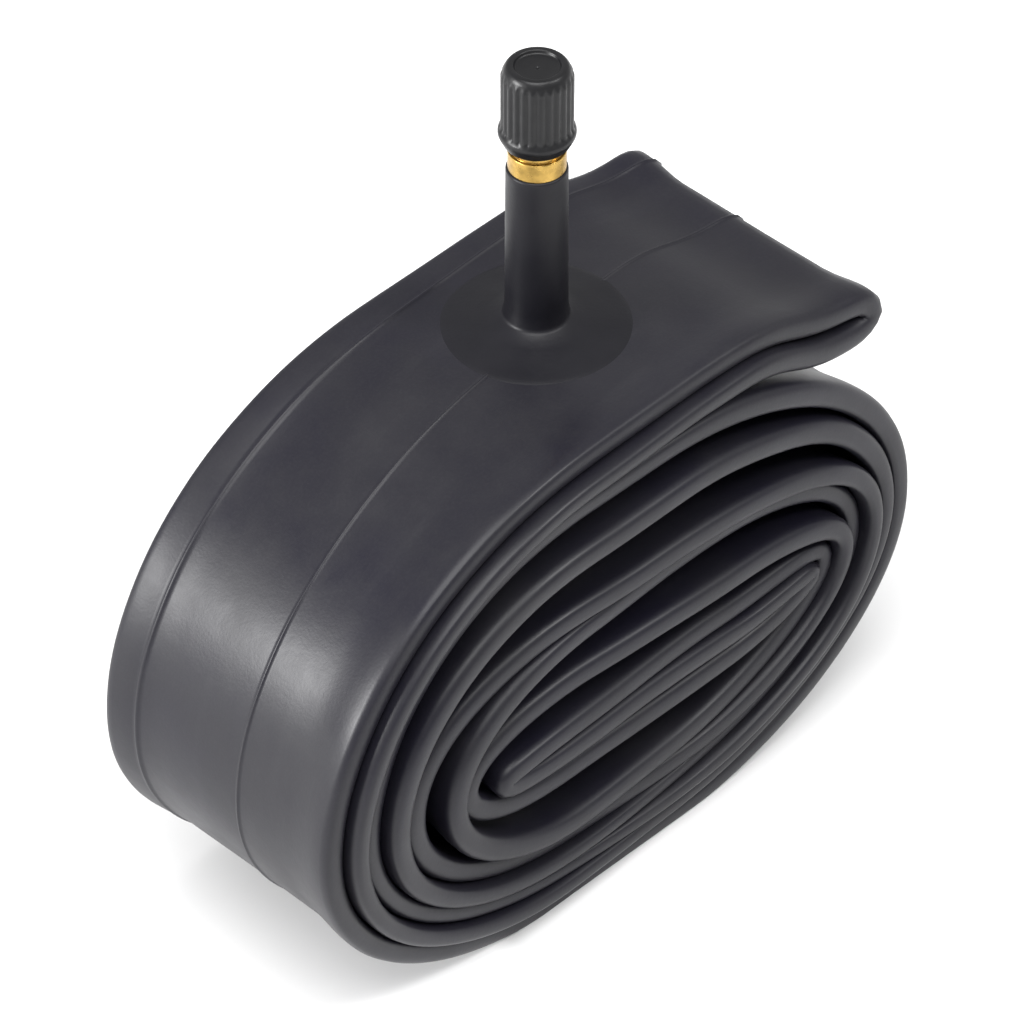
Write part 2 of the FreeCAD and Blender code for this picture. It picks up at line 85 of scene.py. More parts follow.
# The studio: each light's name, place, width and height in metres, and power in watts
LIGHTS = (
    ("key", (-0.80, 0.36, 0.34), 0.30, 0.14, 9.5),
    ("front", (0.34, -0.55, 0.80), 0.14, 0.26, 3.6),
    ("top", (-0.25, -0.20, 0.95), 0.7, 0.7, 9),
)
LIGHT_AIM = (0, 0, 0.04)
WORLD_STRENGTH = 0.62
FLOOR_HALF = 6.0
FLOOR_DROP = 0.2 * MM           # below the object's foot
FLOOR_ALBEDO = 0.84

# The band's middle line
SAME_PLACE = 1e-6               # metres within which two corners are one
PLACE_DIGITS = 6                # of a metre, to match them
STEP = 1.2 * MM                 # between sections along the tube
TIP_HEIGHT = 0.75               # the loose end lies above this share of the roll's height
TIP_SECTIONS = 4                # past the tip, where the upper and lower plies are apart
TOP_SECTIONS = 40               # past the tip, where the upper ply lies on top
CORE_HEIGHT = 0.41              # of the innermost turns, as a share of the roll's height
CORE_SAG = 5.2 * MM             # how far the innermost turns hang inside the roll
SAG_EDGE = 0.97                 # share of the way out from the core at which nothing hangs
SAG_FADE = 0.6                  # share of the way over which it comes to hang fully

# The room beside a ply
ROOM_MOST = 12 * MM
ROOM_WINDOW = 1.5 * MM          # how far aside another ply's section may be
PLY_APART = 9 * MM              # a section further along the tube than this is another ply
PLY_GAP = 0.08 * MM             # left free by each of two neighbouring edges
TIGHT_ROOM = 4 * MM             # room under which a face ripples less
TIGHT_LEAST = 0.25              # share of the ripple that the tightest face keeps

# The flattened section
FLAT_WIDTH = 42.5 * MM
MID_HALF = 1.15 * MM            # half the thickness of two walls pressed flat
EDGE_LEAST = 1.2 * MM           # half the thickness of the thick edge
EDGE_MOST = 2.0 * MM
EDGE_FADE = 7.0 * MM            # over which the thick edge thins out
NOSE_POWER = 2.7                # 2 is a round edge, and more is a squarer one
NOSE_COLUMNS = 5
NOSE_CLEAR = 1.08               # no other column this close to the edge, in sizes of the nose
EDGE_COLUMNS = (1.0, 1.5, 2.0, 2.6, 3.4, 4.4, 5.6, 7.0, 9.0, 11.5, 14.0, 16.5, 19.0)  # mm from each edge
SEAM_COLUMNS = (-2.0, -1.0, -0.5, 0.0, 0.5, 1.0, 2.0)   # in half widths of a seam
SEAM_CLEAR = 2.2                # no other column this close to a seam, in half widths
SEAM_PLACES = (0.09, 0.44)      # shares of the width from the far edge, at the loose end
SEAM_WIDTH = 0.55 * MM
SEAM_HEIGHT = 0.22 * MM
SEAM_DRIFT = 0.15               # how far mid-width moves towards the near edge, as a share of the width,
SEAM_DRIFT_TURNS = 0.32         # over this share of a turn from the loose end

# The twisted loose end
TAIL_REACH = 36 * MM            # stretch of the loose end that is twisted
TAIL_SKEW = 1.7 * MM            # how far its near corner is turned out and its far corner in
TAIL_PUSH = 1.3 * MM            # how far both corners are pulled out
TAIL_TWIST = 2.1 * MM           # how far its near corner hangs and its far corner lifts

# The plies' near edges, and how far each lane's is set back, in mm, by turns from the loose end
NEAREST_EDGE = 0.9 * MM         # how far the most proud plies stand out of the CAD band
RECESS_TURNS = (0.0, 0.12, 0.3, 0.55, 0.8, 1.0, 1.3, 1.5, 1.7, 2.1, 2.3, 2.6, 2.8, 3.1, 3.3, 3.6, 4.0)
OUTER_RECESS = (3.4, 3.6, 2.6, 1.9, 1.5, 1.2, 2.6, 1.6, 0.3, 0.4, 1.9, 2.3, 0.6, 0.5, 2.2, 1.4, 0.8)
INNER_RECESS = (2.6, 1.3, 0.6, 0.4, 1.7, 0.3, 0.5, 0.3, 1.6, 2.4, 0.6, 0.4, 1.9, 2.1, 0.6, 0.7, 1.5)

# Unevenness, with lengths in metres and sizes in millimetres
WANDER = ((1, 0.034, 0.35), (2, 0.011, 0.12))                   # of the near edge: seed, length, size
RIPPLE = ((0.022, 0.017, 3.1, 0.16), (0.009, 0.012, 9.7, 0.05))  # of a face: along, across, seed, size

# Blurs, in sections along the tube
LINE_BLUR = 1.0
EDGE_BLUR = 3.0
RECESS_BLUR = 8.0
WANDER_BLUR = 2.0
DRIFT_BLUR = 4.0

# The valve
COVER_RADIUS = 4.1 * MM
PAD_BURIED = 0.9 * MM           # how far the pad goes down into the tube
FOOT_RADIUS = 7.0 * MM
FOOT_HEIGHT = 0.6 * MM
SHANK_RADIUS = 3.0 * MM
STEM_BORE = 1.95 * MM
CORE_BORE = 2.62 * MM
CORE_BORE_DEPTH = 7.3 * MM      # from the tip to where the core's bore starts to narrow
CORE_SEAT_DEPTH = 9.6 * MM      # and to where it is as narrow as the stem's
COLLAR_HEIGHT = 2.8 * MM
COLLAR_SUNK = 0.02 * MM         # into the cover's top
NECK_RADIUS = 3.45 * MM
NECK_HEIGHT = 0.9 * MM
THREAD_RADIUS = 3.85 * MM
THREAD_PITCH = 0.794 * MM
THREAD_DEPTH = 0.42 * MM
THREAD_SLOPE = 1.25             # above 1, the steeper flanks leave flats on the ridge and in the groove
THREAD_SINK = 0.1               # share of the depth by which the flanks start lower in the groove

# The cap
CAP_RADIUS = 4.6 * MM
CAP_BORE = 3.95 * MM
CAP_CROWN = 2.2 * MM
CAP_DISH = 3.1 * MM
CAP_MIDDLE = 0.02 * MM          # the crown's faces stop this far from the axis
CAP_RIBS = 25
RIB_HEIGHT = 0.22 * MM
RIB_LOW = 2.25 * MM             # from the cap's foot to the ribs' lower end
RIB_HIGH = 0.85 * MM            # from the cap's top to their upper end
RIB_RUN_IN = 0.6 * MM
RIB_RUN_OUT = 0.8 * MM
RIB_REACH = 0.35 * MM           # what lies deeper than this inside the grip isn't ribbed
RIB_BROADNESS = 0.6             # below 1 the ribs are broader than the grooves
RIB_SUNK = 0.35                 # share of a rib's height that is cut into the grip

# The core's spring
SPRING_WIRE = 0.14 * MM
SPRING_TURNS = 7
SPRING_STEPS = 24               # for each turn
SPRING_SIDES = 8

CORNER_SHARE = 0.45             # of a straight run, the most that a rounded corner takes
NO_LENGTH = 1e-9


# ---------------------------------------------------------------- the rolled rubber

def eased(share, full=1):
    """From 0 to full with gentle ends, as share goes from 0 to 1."""
    return full * share * share * (3 - 2 * share)


def side_edges(node):
    """The edges round a node's flat side of lowest y, and the (x, z) place of each of their ends."""
    mesh = nodes[node].data
    low_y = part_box(node)[0].y
    places = {}
    uses = {}
    for polygon in mesh.polygons:
        corners = [mesh.vertices[i].co for i in polygon.vertices]
        if any(abs(co.y - low_y) > SAME_PLACE for co in corners):
            continue
        keys = []
        for co in corners:
            key = (round(co.x, PLACE_DIGITS), round(co.z, PLACE_DIGITS))
            places[key] = (co.x, co.z)
            keys.append(key)
        for one, two in zip(keys, keys[1:] + keys[:1]):
            edge = (min(one, two), max(one, two))
            uses[edge] = uses.get(edge, 0) + 1
    return [edge for edge, count in uses.items() if count == 1 and edge[0] != edge[1]], places


def side_lines(node):
    """The two longest closed lines, as (x, z) points in order, round that side of a node."""
    edges, places = side_edges(node)
    beside = {}
    for one, two in edges:
        beside.setdefault(one, []).append(two)
        beside.setdefault(two, []).append(one)
    lines = []
    unseen = set(beside)
    while unseen:
        here = max(unseen)
        line = []
        while here is not None:
            unseen.discard(here)
            line.append(here)
            here = next((key for key in beside[here] if key in unseen), None)
        lines.append(np.array([places[key] for key in line]))
    return sorted(lines, key=len, reverse=True)[:2]


def even_points(line, step):
    """The closed line divided into equal steps of about that length."""
    closed = np.vstack([line, line[:1]])
    lengths = np.hypot(*np.diff(closed, axis=0).T)
    along = np.concatenate([[0], np.cumsum(lengths)])
    count = int(round(along[-1] / step))
    at = np.arange(count) * along[-1] / count
    return np.stack([np.interp(at, along, closed[:, i]) for i in (0, 1)], 1)


def smoothed(values, sigma):
    """A closed row of values, blurred by that many steps."""
    reach = int(3 * sigma) + 1
    weights = np.exp(-0.5 * (np.arange(-reach, reach + 1) / sigma) ** 2)
    weights /= weights.sum()
    out = np.zeros_like(values)
    for shift, weight in zip(range(-reach, reach + 1), weights):
        out += weight * np.roll(values, shift, axis=0)
    return out


def nearest_on(line, points):
    """For each point, the closest place on the closed line."""
    run = np.roll(line, -1, axis=0) - line
    length2 = np.maximum((run ** 2).sum(1), NO_LENGTH ** 2)
    out = []
    for point in points:
        share = np.clip(((point - line) * run).sum(1) / length2, 0, 1)
        place = line + run * share[:, None]
        out.append(place[((place - point) ** 2).sum(1).argmin()])
    return np.array(out)


def roll_centre(middle):
    """The middle of the roll's innermost turns."""
    low, high = middle.min(0), middle.max(0)
    return np.array([(low[0] + high[0]) / 2, low[1] + CORE_HEIGHT * (high[1] - low[1])])


def sagged(middle):
    """The line with its innermost turns let down, and its outer turn as it was."""
    centre = roll_centre(middle)
    away = middle - centre
    up = np.where(away[:, 1] > 0, middle[:, 1].max(), middle[:, 1].min()) - centre[1]
    reach = np.hypot(away[:, 0] / middle[:, 0].max(), away[:, 1] / up)
    share = np.clip((SAG_EDGE - reach) / SAG_FADE, 0, 1)
    out = middle.copy()
    out[:, 1] -= eased(share, CORE_SAG)
    return out


def middle_line():
    """The band's middle from the loose end's tip along its upper ply, its outward normals and its run."""
    outside, inside = sorted(side_lines("rolled_tube"), key=lambda line: -line[:, 1].max())
    outside = even_points(outside, STEP / 2)
    middle = even_points((outside + nearest_on(inside, outside)) / 2, STEP)
    high = middle[:, 1] > TIP_HEIGHT * middle[:, 1].max()
    tip = np.where(high, middle[:, 0], -1).argmax()
    middle = np.roll(middle, -tip, axis=0)
    if middle[TIP_SECTIONS, 1] < middle[-TIP_SECTIONS, 1]:
        middle = np.roll(middle[::-1], 1, axis=0)
    middle = sagged(smoothed(middle, LINE_BLUR))
    run = np.roll(middle, -1, axis=0) - np.roll(middle, 1, axis=0)
    run /= np.hypot(*run.T)[:, None]
    normal = np.stack([run[:, 1], -run[:, 0]], 1)
    if normal[TOP_SECTIONS, 1] < 0:
        normal = -normal
    return middle, normal, run


def room_beside(middle, normal, run, side):
    """Distance from each point to the next ply's middle on that side, at most ROOM_MOST."""
    count = len(middle)
    index = np.arange(count)
    out = np.full(count, ROOM_MOST)
    for i in range(count):
        apart = np.abs(index - i)
        apart = np.minimum(apart, count - apart)
        away = middle - middle[i]
        up = away @ normal[i] * side
        aside = np.abs(away @ run[i])
        hit = (apart * STEP > PLY_APART) & (aside < ROOM_WINDOW) & (up > 0)
        if hit.any():
            out[i] = min(out[i], up[hit].min())
    return out


def turns_and_fold(middle):
    """How many turns round the core each point has made, and which one turns back at the inner fold."""
    away = middle - roll_centre(middle)
    angle = np.unwrap(np.arctan2(away[:, 1], away[:, 0]))
    turned = (angle - angle[0]) / (2 * math.pi)
    return turned, int(turned.argmax())


def near_edges(turned, fold, along):
    """The y of each section's near edge, set back by its ply's own recess and a slow wander."""
    outer_lane = np.arange(len(along)) <= fold
    recess = np.where(outer_lane, np.interp(turned, RECESS_TURNS, OUTER_RECESS),
                      np.interp(turned, RECESS_TURNS, INNER_RECESS))
    wander = np.array([
        sum(noise.noise(Vector((s / length, seed * 7.3, seed * 1.7))) * size
            for seed, length, size in WANDER)
        for s in along]) * MM
    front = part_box("rolled_tube")[0].y - NEAREST_EDGE
    return front + smoothed(recess * MM, RECESS_BLUR) + smoothed(wander, WANDER_BLUR)


def face_columns():
    """Places across one face, in metres from the near edge, crowded at the edges and at the seams."""
    width = FLAT_WIDTH / MM
    places = [*EDGE_COLUMNS, *(width - place for place in EDGE_COLUMNS), width / 2]
    half = SEAM_WIDTH / MM / 2
    for share in SEAM_PLACES:
        seam = width * (1 - share)
        places = [place for place in places if abs(place - seam) > SEAM_CLEAR * half]
        places += [seam + half * part for part in SEAM_COLUMNS]
    return np.array(sorted(places)) * MM


def section_columns(nose_sizes):
    """Each section's places across: its two rounded edges, and the same number of columns between them."""
    angles = [math.pi / 2 * (i + 0.5) / NOSE_COLUMNS for i in range(NOSE_COLUMNS)]
    nose = np.array([1 - math.cos(angle) for angle in angles])
    places = face_columns()
    faces = []
    for size in nose_sizes:
        clear = size * NOSE_CLEAR
        faces.append(places[(places > clear) & (places < FLAT_WIDTH - clear)])
    keep = min(len(face) for face in faces)
    sections = []
    for size, face in zip(nose_sizes, faces):
        first = (len(face) - keep) // 2
        front = nose * size
        sections.append(np.concatenate([front, face[first: first + keep], FLAT_WIDTH - front[::-1]]))
    return sections


def half_thickness(across, edge, nose_size):
    """Half the thickness that far from the near edge: a round nose, a bulge, then the flat."""
    near = np.minimum(across, FLAT_WIDTH - across)
    inward = np.clip(1 - near / nose_size, 0, 1)
    nose = nose_size * (1 - inward ** NOSE_POWER) ** (1 / NOSE_POWER)
    fade = eased(np.clip((near - nose_size) / EDGE_FADE, 0, 1))
    body = edge + (MID_HALF - edge) * fade
    return np.where(near < nose_size, nose / nose_size * edge, body)


def seam_ridge(columns):
    """How far the moulded seams stand out at each column."""
    height = np.zeros_like(columns)
    for share in SEAM_PLACES:
        away = np.abs(columns - FLAT_WIDTH * (1 - share)) / (SEAM_WIDTH / 2)
        height += SEAM_HEIGHT * np.clip(1 - away, 0, 1)
    return height


def ripple(along, across):
    """The height of a face's ripple at each place across."""
    return np.array([
        sum(noise.noise(Vector((along / length, place / width, seed))) * size
            for length, width, seed, size in RIPPLE)
        for place in across]) * MM


def tube_mesh():
    """The flattened tube as one closed skin along the whole ring."""
    middle, normal, run = middle_line()
    count = len(middle)
    turned, fold = turns_and_fold(middle)
    along = np.arange(count) * STEP
    rooms = [room_beside(middle, normal, run, side) for side in (1, -1)]
    tight = np.clip(np.minimum(*rooms) / TIGHT_ROOM, TIGHT_LEAST, 1)
    edges = [smoothed(np.clip(room / 2 - PLY_GAP, EDGE_LEAST, EDGE_MOST), EDGE_BLUR) for room in rooms]
    nose_sizes = np.minimum(*edges)
    near_y = near_edges(turned, fold, along)
    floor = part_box("rolled_tube")[0].z
    from_tip = np.minimum(along, count * STEP - along)
    loose = np.clip(1 - from_tip / TAIL_REACH, 0, 1) ** 2
    drift = smoothed(eased(np.clip(turned / SEAM_DRIFT_TURNS, 0, 1), SEAM_DRIFT), DRIFT_BLUR)
    vertices = []
    for i, columns in enumerate(section_columns(nose_sizes)):
        # the columns drift most at mid-width and take the seams along, and the edges stay
        across = columns - 4 * drift[i] * columns * (1 - columns / FLAT_WIDTH)
        face_out = half_thickness(across, edges[0][i], nose_sizes[i])
        face_in = half_thickness(across, edges[1][i], nose_sizes[i])
        lift = ripple(along[i], across) * tight[i] * np.clip(face_out / MID_HALF, 0, 1)
        seams = seam_ridge(columns)
        tops = face_out + lift + seams
        lows = -face_in + lift - seams
        for values, order in ((tops, slice(None)), (lows, slice(None, None, -1))):
            for place, value in zip(across[order], values[order]):
                flat = middle[i] + normal[i] * value
                side = 2 * place / FLAT_WIDTH - 1
                vertices.append((flat[0] + (TAIL_PUSH - TAIL_SKEW * side) * loose[i], near_y[i] + place,
                                 max(floor, flat[1] + TAIL_TWIST * side * loose[i])))
    return vertices, ring_faces(count, len(vertices) // count)


# ---------------------------------------------------------------- meshes

def ring_faces(rings, size, closed=True):
    """Faces between rings of that many points each, and from the last ring to the first if closed."""
    faces = []
    for ring in range(rings if closed else rings - 1):
        here = ring * size
        ahead = (ring + 1) % rings * size
        for one in range(size):
            two = (one + 1) % size
            faces.append((here + one, here + two, ahead + two, ahead + one))
    return faces


def turned_mesh(centre, profile, segments, shape=None):
    """A closed ring of (radius, z) points turned about a vertical axis; shape changes a radius."""
    vertices = []
    for step in range(segments):
        angle = 2 * math.pi * step / segments
        for radius, z in profile:
            size = shape(radius, z, angle) if shape else radius
            vertices.append((centre[0] + size * math.cos(angle), centre[1] + size * math.sin(angle), z))
    return vertices, ring_faces(segments, len(profile))


def rounded(corners, steps):
    """A closed outline of (radius, z, rounding in mm) corners as (radius, z) points."""
    points = [Vector(corner[:2]) for corner in corners]
    out = []
    for i, here in enumerate(points):
        size = corners[i][2] * MM
        before = points[i - 1] - here
        after = points[(i + 1) % len(points)] - here
        if size <= 0 or before.length < NO_LENGTH or after.length < NO_LENGTH:
            out.append(tuple(here))
            continue
        reach = min(size, before.length * CORNER_SHARE, after.length * CORNER_SHARE)
        start = here + before.normalized() * reach
        end = here + after.normalized() * reach
        for k in range(steps + 1):
            t = k / steps
            out.append(tuple(start * (1 - t) ** 2 + here * (2 * t * (1 - t)) + end * t * t))
    return out


def divided(points, longest):
    """The same closed outline with long runs divided."""
    out = []
    for one, two in zip(points, points[1:] + points[:1]):
        pieces = max(1, math.ceil(math.dist(one, two) / longest))
        for k in range(pieces):
            t = k / pieces
            out.append((one[0] + (two[0] - one[0]) * t, one[1] + (two[1] - one[1]) * t))
    return out


def turn_outward(mesh):
    """Turn every face outwards."""
    work = bmesh.new()
    work.from_mesh(mesh)
    bmesh.ops.recalc_face_normals(work, faces=work.faces)
    work.to_mesh(mesh)
    work.free()
    mesh.update()


def add_piece(name, shape, body, replaced, material):
    """A smooth piece of the object that stands for one CAD node."""
    vertices, faces = shape
    mesh = bpy.data.meshes.new(name)
    mesh.from_pydata(vertices, [], faces)
    mesh.update()
    piece = bpy.data.objects.new(name, mesh)
    bpy.context.scene.collection.objects.link(piece)
    for polygon in mesh.polygons:
        polygon.use_smooth = True
    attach(piece, body)
    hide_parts(replaced)
    turn_outward(mesh)
    mesh.materials.append(material)
    return piece


# ---------------------------------------------------------------- the pieces

def valve_axis():
    """The x and y of the valve's axis."""
    low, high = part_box("brass_stem")
    return ((low.x + high.x) / 2, (low.y + high.y) / 2)


def half_span(node):
    """Half of a node's size along x."""
    low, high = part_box(node)
    return (high.x - low.x) / 2


def make_tube():
    add_piece("rolled_inner_tube", tube_mesh(), "tube", "rolled_tube", tube_rubber())


def make_valve_rubber():
    """The pad on the tube and the rubber round the stem, with a soft root between them."""
    low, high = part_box("valve_rubber")
    seat, top = low.z, high.z
    pad = half_span("valve_rubber")
    corners = [
        (SHANK_RADIUS, seat - PAD_BURIED, 0),
        (pad * 0.92, seat - PAD_BURIED, 0.2),
        (pad + 0.5 * MM, seat - 0.35 * MM, 0.25),
        (pad - 0.6 * MM, seat + 0.10 * MM, 0.8),
        (pad * 0.74, seat + 0.52 * MM, 3),
        (pad * 0.50, seat + 1.15 * MM, 2),
        (COVER_RADIUS + 1.3 * MM, seat + 1.5 * MM, 1.0),
        (COVER_RADIUS + 0.35 * MM, seat + 1.95 * MM, 0.9),
        (COVER_RADIUS + 0.12 * MM, seat + 3.6 * MM, 2),
        (COVER_RADIUS, top - 2 * MM, 1),
        (COVER_RADIUS, top, 0.45),
        (SHANK_RADIUS, top, 0),
    ]
    profile = divided(rounded(corners, steps=6), longest=1.5 * MM)
    shape = turned_mesh(valve_axis(), profile, segments=128)
    add_piece("valve_cover", shape, "tube", "valve_rubber", stem_rubber())


def thread_cut(z, angle, foot, top):
    """How far a right-hand thread cuts in below its ridge line there."""
    phase = (z / THREAD_PITCH - angle / (2 * math.pi)) % 1.0
    ridge = 1 - abs(2 * phase - 1)
    fade = min(1.0, max(0.0, (z - foot) / THREAD_PITCH), max(0.0, (top - z) / THREAD_PITCH))
    return THREAD_DEPTH * (1 - min(1.0, max(0.0, ridge * THREAD_SLOPE - THREAD_SINK))) * fade


def make_brass_stem():
    """The stem, whose visible part is the collar, the neck and the threaded tip."""
    low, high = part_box("brass_stem")
    foot, tip = low.z, high.z
    cover_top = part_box("valve_rubber")[1].z
    collar_foot = cover_top - COLLAR_SUNK
    collar_top = cover_top + COLLAR_HEIGHT
    thread_foot = collar_top + NECK_HEIGHT
    thread_top = tip - 0.1 * MM
    corners = [
        (STEM_BORE, foot, 0),
        (FOOT_RADIUS, foot, 0.1),
        (FOOT_RADIUS, foot + FOOT_HEIGHT, 0.1),
        (SHANK_RADIUS, foot + FOOT_HEIGHT, 0.3),
        (SHANK_RADIUS, collar_foot, 0.1),
        (THREAD_RADIUS, collar_foot, 0.12),
        (THREAD_RADIUS, collar_top, 0.4),
        (NECK_RADIUS, collar_top, 0.05),
        (NECK_RADIUS, thread_foot, 0.15),
        (THREAD_RADIUS, thread_foot + 0.4 * MM, 0.1),
        (THREAD_RADIUS, tip - 0.45 * MM, 0.1),
        (THREAD_RADIUS - 0.5 * MM, tip, 0.12),
        (CORE_BORE, tip, 0.2),
        (CORE_BORE, tip - CORE_BORE_DEPTH, 0.1),
        (STEM_BORE, tip - CORE_SEAT_DEPTH, 0.1),
    ]
    profile = divided(rounded(corners, steps=3), longest=THREAD_PITCH / 8)

    def threaded(radius, z, angle):
        if radius < NECK_RADIUS or z < thread_foot or z > thread_top:
            return radius
        return radius - thread_cut(z, angle, thread_foot, thread_top)

    shape = turned_mesh(valve_axis(), profile, segments=72, shape=threaded)
    finish = brass("stem_brass_finish", (0.62, 0.40, 0.11), 0.28)
    add_piece("threaded_stem", shape, "tube", "brass_stem", finish)


def make_cap():
    """The screw cap, with rounded ribs that run out under the shoulder and over the skirt."""
    low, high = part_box("valve_cap")
    foot, top = low.z, high.z
    skirt = half_span("valve_cap")
    rib_low = foot + RIB_LOW
    rib_high = top - RIB_HIGH
    corners = [
        (CAP_BORE, foot + 0.2 * MM, 0.05),
        (CAP_BORE + 0.1 * MM, foot, 0.1),
        (CAP_BORE + 0.45 * MM, foot, 0.2),
        (skirt, foot + 1.45 * MM, 0.35),
        (skirt, foot + 2.0 * MM, 0.35),
        (CAP_RADIUS, foot + 2.8 * MM, 0.4),
        (CAP_RADIUS, top - 1.5 * MM, 0.5),
        (CAP_RADIUS - 0.28 * MM, top - 0.6 * MM, 0.5),
        (CAP_RADIUS - 0.75 * MM, top, 0.3),
        (CAP_DISH, top, 0.18),
        (CAP_DISH - 0.2 * MM, top - 0.5 * MM, 0.25),
        (CAP_MIDDLE, top - 0.55 * MM, 0),
        (CAP_MIDDLE, top - CAP_CROWN, 0),
        (CAP_BORE, top - CAP_CROWN, 0.3),
    ]
    profile = divided(rounded(corners, steps=5), longest=0.6 * MM)

    def ribbed(radius, z, angle):
        if radius < CAP_RADIUS - RIB_REACH or not rib_low < z < rib_high:
            return radius
        fade = min(1.0, (z - rib_low) / RIB_RUN_IN, (rib_high - z) / RIB_RUN_OUT)
        swing = 0.5 + 0.5 * math.cos(angle * CAP_RIBS)
        return radius + RIB_HEIGHT * max(0.0, fade) * (swing ** RIB_BROADNESS - RIB_SUNK)

    shape = turned_mesh(valve_axis(), profile, segments=CAP_RIBS * 12, shape=ribbed)
    add_piece("ribbed_cap", shape, "cap", "valve_cap", cap_plastic())


def make_spring():
    """The core's spring, built as a coil at rest; the real one shortens from its top as the pin is pressed.
    """
    low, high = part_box("core_spring")
    coil = half_span("core_spring") - SPRING_WIRE
    foot = low.z + SPRING_WIRE
    rise = high.z - low.z - 2 * SPRING_WIRE
    axis = valve_axis()
    count = SPRING_TURNS * SPRING_STEPS
    vertices = []
    for i in range(count + 1):
        turn = 2 * math.pi * SPRING_TURNS * i / count
        for k in range(SPRING_SIDES):
            angle = 2 * math.pi * k / SPRING_SIDES
            reach = coil + SPRING_WIRE * math.cos(angle)
            vertices.append((axis[0] + reach * math.cos(turn), axis[1] + reach * math.sin(turn),
                             foot + rise * i / count + SPRING_WIRE * math.sin(angle)))
    faces = ring_faces(count + 1, SPRING_SIDES, closed=False)
    for end in (0, count):
        faces.append(tuple(end * SPRING_SIDES + k for k in range(SPRING_SIDES)))
    coiled = (vertices, faces)
    piece = add_piece("coil_spring", coiled, "tube", "core_spring", spring_steel())
    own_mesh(piece)


# ---------------------------------------------------------------- materials

class Paint:
    """A material's node tree with short ways to add to it."""

    COLOUR_ONE, COLOUR_TWO, COLOUR_OUT = 6, 7, 2     # the Mix node's sockets for colours

    def __init__(self, name):
        self.material = bpy.data.materials.new(name)
        self.material.use_nodes = True
        self.tree = self.material.node_tree
        self.shader = self.tree.nodes["Principled BSDF"]
        self.place = self.add("ShaderNodeTexCoord").outputs["Object"]

    def add(self, kind, **settings):
        node = self.tree.nodes.new(kind)
        for key, value in settings.items():
            setattr(node, key, value)
        return node

    def link(self, source, target):
        self.tree.links.new(source, target)

    def feed(self, source, target):
        """Give a socket a number, a colour or another node's output."""
        if isinstance(source, (int, float)):
            target.default_value = source
        elif isinstance(source, tuple):
            target.default_value = (*source, 1)
        else:
            self.link(source, target)

    def noise(self, scale, detail=4.0, rough=0.55, stretch=None):
        """Grey noise, whose scale is in swings for each metre."""
        node = self.add("ShaderNodeTexNoise")
        node.inputs["Scale"].default_value = scale
        node.inputs["Detail"].default_value = detail
        node.inputs["Roughness"].default_value = rough
        place = self.place
        if stretch:
            mapping = self.add("ShaderNodeMapping")
            mapping.inputs["Scale"].default_value = stretch
            self.link(place, mapping.inputs["Vector"])
            place = mapping.outputs["Vector"]
        self.link(place, node.inputs["Vector"])
        return node.outputs["Fac"]

    def ramp(self, source, stops):
        """Colours or grey levels by position."""
        node = self.add("ShaderNodeValToRGB")
        elements = node.color_ramp.elements
        while len(elements) < len(stops):
            elements.new(0.5)
        for element, (position, colour) in zip(elements, stops):
            element.position = position
            level = colour if isinstance(colour, tuple) else (colour,) * 3
            element.color = (*level, 1)
        self.link(source, node.inputs["Fac"])
        return node.outputs["Color"]

    def mix(self, share, one, two):
        node = self.add("ShaderNodeMix", data_type="RGBA")
        self.feed(share, node.inputs["Factor"])
        self.feed(one, node.inputs[self.COLOUR_ONE])
        self.feed(two, node.inputs[self.COLOUR_TWO])
        return node.outputs[self.COLOUR_OUT]

    def bump(self, height, depth, before=None):
        """A surface normal raised by that depth in metres, on top of another one."""
        node = self.add("ShaderNodeBump")
        node.inputs["Distance"].default_value = depth
        node.inputs["Strength"].default_value = 1.0
        self.link(height, node.inputs["Height"])
        if before is not None:
            self.link(before, node.inputs["Normal"])
        return node.outputs["Normal"]

    def finish(self, **inputs):
        """The material, with the shader's named inputs fed."""
        for name, value in inputs.items():
            self.feed(value, self.shader.inputs[name.replace("_", " ")])
        return self.material


def tube_rubber():
    """Butyl rubber: bluish charcoal, satin, clouded by talc that was wiped off in strokes."""
    paint = Paint("tube_rubber_finish")
    cloud = paint.noise(30, 5, 0.6)
    streak = paint.noise(110, 4, 0.6, stretch=(0.35, 1.6, 0.35))
    speck = paint.noise(2600, 2, 0.5)
    base = paint.ramp(cloud, [(0.34, (0.0068, 0.0062, 0.0125)), (0.52, (0.0095, 0.0090, 0.0135)),
                              (0.74, (0.0160, 0.0155, 0.0190))])
    dust = paint.ramp(streak, [(0.55, 0.0), (0.88, 0.13)])
    colour = paint.mix(dust, base, (0.060, 0.059, 0.063))
    grain = paint.ramp(speck, [(0.42, 0.0), (0.80, 0.08)])
    colour = paint.mix(grain, colour, (0.05, 0.049, 0.053))
    rough = paint.ramp(paint.noise(60, 4, 0.6), [(0.3, 0.34), (0.7, 0.47)])
    fine = paint.bump(speck, 0.010 * MM)
    skin = paint.bump(paint.noise(260, 4, 0.55), 0.035 * MM, fine)
    return paint.finish(Base_Color=colour, Roughness=rough, Specular_IOR_Level=0.34, Normal=skin)


def stem_rubber():
    """Moulded rubber, blacker and a little smoother than the tube's."""
    paint = Paint("stem_rubber_finish")
    base = paint.ramp(paint.noise(90), [(0.3, (0.0045, 0.0043, 0.0068)), (0.75, (0.0080, 0.0077, 0.0105))])
    rough = paint.ramp(paint.noise(160, 3), [(0.3, 0.38), (0.7, 0.48)])
    skin = paint.bump(paint.noise(1500, 3), 0.020 * MM)
    return paint.finish(Base_Color=base, Roughness=rough, Specular_IOR_Level=0.28, Normal=skin)


